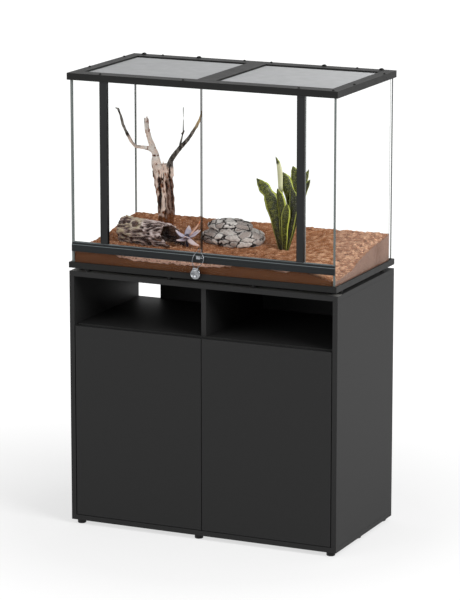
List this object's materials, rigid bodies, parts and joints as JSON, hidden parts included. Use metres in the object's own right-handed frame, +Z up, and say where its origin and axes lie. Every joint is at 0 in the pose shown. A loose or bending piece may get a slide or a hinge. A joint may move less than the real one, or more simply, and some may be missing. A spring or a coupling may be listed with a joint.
{
  "type": "terrarium cabinet",
  "caption": "Planted glass terrarium with front doors, mesh lids and a wire lock on a black cabinet with a divided open niche and two push-open doors",
  "frame": {"origin": "the middle of the whole footprint, on the floor under the cabinet's feet", "axes": "+X to the right seen from the front, +Y to the back, +Z up; the doors face -Y"},
  "size_m": [1, 0.5314, 1.5949],
  "materials": {
    "board": "black laminate on chipboard, matt with a very fine grain",
    "back_board": "black-faced hardboard",
    "foot_plastic": "black moulded plastic",
    "hinge_steel": "nickel-plated pressed steel",
    "latch_plastic": "grey moulded plastic",
    "frame_plastic": "satin black moulding",
    "rail_black": "satin black extrusion",
    "clear_glass": "clear float glass with polished pale green edges",
    "steel_mesh": "fine woven steel wire, flat",
    "chrome": "polished, small scratches",
    "soil": "dry red-brown loose soil and fine bark crumbs",
    "driftwood": "weathered grey-brown wood with dark cracks",
    "bark": "rough pale grey bark in ridges",
    "stone": "grey-brown rock with dark cracks",
    "leaf": "dark green banded leaves with yellow-green edges",
    "succulent": "pale dusty lilac leaves, purple at the middle"
  },
  "bodies": {
    "cabinet_and_tank": {"cabinet_top": "board", "cabinet_bottom": "board", "side_panel_left": "board", "side_panel_right": "board", "shelf": "board", "niche_divider": "board", "centre_upright": "board", "back_panel": "back_board", "foot_front_left": "foot_plastic", "foot_front_middle": "foot_plastic", "foot_front_right": "foot_plastic", "foot_centre_left": "foot_plastic", "foot_centre_middle": "foot_plastic", "foot_centre_right": "foot_plastic", "foot_rear_left": "foot_plastic", "foot_rear_middle": "foot_plastic", "foot_rear_right": "foot_plastic", "hinge_arm_left_lower": "hinge_steel", "hinge_arm_left_upper": "hinge_steel", "hinge_arm_right_lower": "hinge_steel", "hinge_arm_right_upper": "hinge_steel", "latch_body_left": "latch_plastic", "latch_body_right": "latch_plastic", "base_frame": "frame_plastic", "top_frame": "frame_plastic", "top_crossbar": "frame_plastic", "front_rail": "rail_black", "floor_glass": "clear_glass", "back_glass": "clear_glass", "side_glass_left": "clear_glass", "side_glass_right": "clear_glass", "front_glass_low": "clear_glass", "front_glass_left": "clear_glass", "front_glass_right": "clear_glass", "lock_catch": "chrome", "soil": "soil", "driftwood": "driftwood", "log_hide": "bark", "stone_lower": "stone", "stone_upper": "stone", "leafy_plant": "leaf", "succulent": "succulent"},
    "door_left": {"cabinet_door_left": "board", "hinge_cup_left_lower": "hinge_steel", "hinge_cup_left_upper": "hinge_steel"},
    "door_right": {"cabinet_door_right": "board", "hinge_cup_right_lower": "hinge_steel", "hinge_cup_right_upper": "hinge_steel"},
    "plunger_left": {"latch_plunger_left": "latch_plastic"},
    "plunger_right": {"latch_plunger_right": "latch_plastic"},
    "front_pane_left": {"glass_door_left": "clear_glass", "hinge_profile_left": "rail_black"},
    "front_pane_right": {"glass_door_right": "clear_glass", "hinge_profile_right": "rail_black"},
    "lid_left": {"lid_frame_left": "frame_plastic", "lid_mesh_left": "steel_mesh"},
    "lid_right": {"lid_frame_right": "frame_plastic", "lid_mesh_right": "steel_mesh"},
    "padlock": {"lock_body": "chrome", "lock_shackle": "chrome"}
  },
  "joints": [
    {"name": "cabinet_door_left_hinge", "type": "hinge", "parent": "cabinet_and_tank", "child": "door_left", "pos_m": [-0.479, -0.24485, 0.3725], "axis": [0, 0, -1], "range_deg": [0, 100]},
    {"name": "cabinet_door_right_hinge", "type": "hinge", "parent": "cabinet_and_tank", "child": "door_right", "pos_m": [0.479, -0.24485, 0.3725], "axis": [0, 0, 1], "range_deg": [0, 100]},
    {"name": "latch_left_slide", "type": "slide", "parent": "cabinet_and_tank", "child": "plunger_left", "axis": [0, -1, 0], "range_m": [0, 0.012]},
    {"name": "latch_right_slide", "type": "slide", "parent": "cabinet_and_tank", "child": "plunger_right", "axis": [0, -1, 0], "range_m": [0, 0.012]},
    {"name": "glass_door_left_pivot", "type": "hinge", "parent": "cabinet_and_tank", "child": "front_pane_left", "pos_m": [-0.37098, -0.23885, 1.285], "axis": [0, 0, -1], "range_deg": [0, 110]},
    {"name": "glass_door_right_pivot", "type": "hinge", "parent": "cabinet_and_tank", "child": "front_pane_right", "pos_m": [0.37098, -0.23885, 1.285], "axis": [0, 0, 1], "range_deg": [0, 110]},
    {"name": "lid_left_lift", "type": "slide", "parent": "cabinet_and_tank", "child": "lid_left", "axis": [0, 0, 1], "range_m": [0, 0.3]},
    {"name": "lid_right_lift", "type": "slide", "parent": "cabinet_and_tank", "child": "lid_right", "axis": [0, 0, 1], "range_m": [0, 0.3]},
    {"name": "padlock_swing", "type": "hinge", "parent": "front_pane_left", "child": "padlock", "pos_m": [-0.0045, -0.23935, 1.0205], "axis": [-1, 0, 0], "range_deg": [0, 30]}
  ],
  "couplings": [
    {"joint": "latch_left_slide", "follows": "cabinet_door_left_hinge", "m_per_rad": 0.0068},
    {"joint": "latch_right_slide", "follows": "cabinet_door_right_hinge", "m_per_rad": 0.0068}
  ]
}
